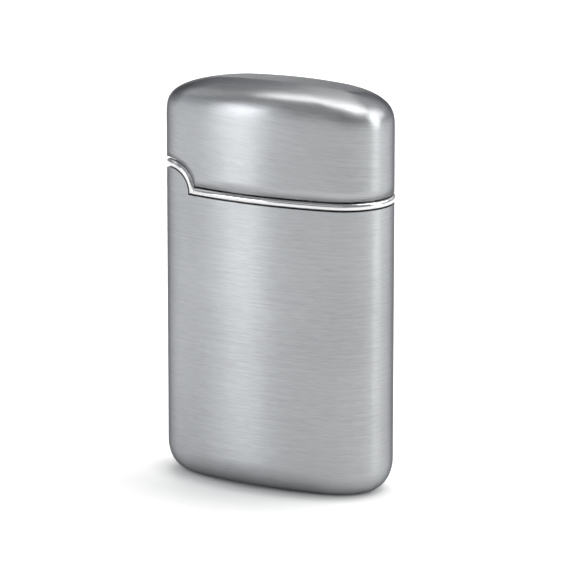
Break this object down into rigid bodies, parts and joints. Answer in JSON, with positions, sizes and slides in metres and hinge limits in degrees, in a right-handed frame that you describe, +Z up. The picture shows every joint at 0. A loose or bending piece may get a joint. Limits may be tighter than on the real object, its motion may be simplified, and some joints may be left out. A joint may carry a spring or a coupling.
{
  "type": "flip-top pocket lighter",
  "caption": "Flip-top gas pocket lighter: lens-shaped brushed metal case, soft domed lid hinged at one end, polished trim bead arching over the hinge, push button and burner under the lid.",
  "frame": {"origin": "centre of the bounding box of the closed lighter, on the surface it stands on", "axes": "+Z up from the base to the lid, -Y towards the front face, -X towards the lid hinge"},
  "size_m": [0.0382, 0.0186, 0.062],
  "materials": {
    "brushed_steel": "satin, fine horizontal grain",
    "polished_trim": "polished",
    "plated_steel": "plated, fine brushed",
    "button_chrome": "satin chrome",
    "brass": "machined",
    "zinc_casting": "bead blasted casting",
    "black_plastic": "moulded, matte",
    "tank_plastic": "translucent moulded",
    "rubber": "matte",
    "ceramic": "glazed",
    "spring_steel": "drawn wire"
  },
  "bodies": {
    "case": {"body_shell": "brushed_steel", "trim_bead": "polished_trim", "base_plate": "plated_steel", "base_screw_left": "plated_steel", "base_screw_right": "plated_steel", "fuel_tank": "tank_plastic", "tank_cover": "tank_plastic", "riser_tube": "brass", "fill_valve_body": "brass", "fill_valve_seal": "rubber", "fill_spring": "spring_steel", "adjuster_bush": "brass", "adjuster_seal": "rubber", "mechanism_frame": "zinc_casting", "deck_plate": "polished_trim", "deck_screw_1": "plated_steel", "deck_screw_2": "plated_steel", "deck_screw_3": "plated_steel", "deck_screw_4": "plated_steel", "valve_body": "brass", "valve_spring": "spring_steel", "lever_axle": "plated_steel", "burner_body": "brass", "jet_nozzle": "brass", "flame_guard": "plated_steel", "piezo_case": "black_plastic", "piezo_crystal": "ceramic", "piezo_hammer": "plated_steel", "piezo_spring": "spring_steel", "electrode": "plated_steel", "electrode_insulator": "ceramic", "ignition_lead": "black_plastic", "hinge_block": "zinc_casting", "hinge_pin": "plated_steel", "cam_spring": "spring_steel"},
    "lid": {"lid_shell": "brushed_steel", "lid_liner": "plated_steel", "hinge_leaf": "plated_steel", "lid_rivet_left": "plated_steel", "lid_rivet_right": "plated_steel"},
    "button": {"ignition_button": "button_chrome", "piezo_plunger": "black_plastic"},
    "gas_lever": {"gas_lever": "plated_steel"},
    "valve_stem": {"valve_stem": "brass"},
    "flame_adjuster": {"adjuster_screw": "brass"},
    "fill_stem": {"fill_stem": "plated_steel"},
    "cam_follower": {"cam_follower": "plated_steel"}
  },
  "joints": [
    {"name": "lid_hinge", "type": "hinge", "parent": "case", "child": "lid", "pos_m": [-0.0157, 0, 0.04483], "axis": [0, -1, 0], "range_deg": [0, 98]},
    {"name": "button_press", "type": "slide", "parent": "case", "child": "button", "axis": [0, 0, -1], "range_m": [0, 0.003], "stiffness_N_per_m": 1000, "deforming": ["piezo_spring"]},
    {"name": "lever_pivot", "type": "hinge", "parent": "case", "child": "gas_lever", "pos_m": [0.0021, 0, 0.0386], "axis": [0, 1, 0], "range_deg": [-1, 26]},
    {"name": "valve_lift", "type": "slide", "parent": "case", "child": "valve_stem", "axis": [0, 0, 1], "range_m": [-0.00001, 0.001], "deforming": ["valve_spring"]},
    {"name": "flame_adjust", "type": "hinge", "parent": "case", "child": "flame_adjuster", "pos_m": [0, 0, 0.0005], "axis": [0, 0, 1], "range_deg": [-135, 135]},
    {"name": "fill_press", "type": "slide", "parent": "case", "child": "fill_stem", "axis": [0, 0, 1], "range_m": [0, 0.0012], "stiffness_N_per_m": 500, "deforming": ["fill_spring"]},
    {"name": "cam_follow", "type": "slide", "parent": "case", "child": "cam_follower", "axis": [0, 0, -1], "range_m": [0, 0.0005], "stiffness_N_per_m": 2000, "deforming": ["cam_spring"]}
  ],
  "couplings": [
    {"joint": "lever_pivot", "follows": "button_press", "rad_per_m": 144.9},
    {"joint": "valve_lift", "follows": "button_press", "ratio": 0.3}
  ]
}
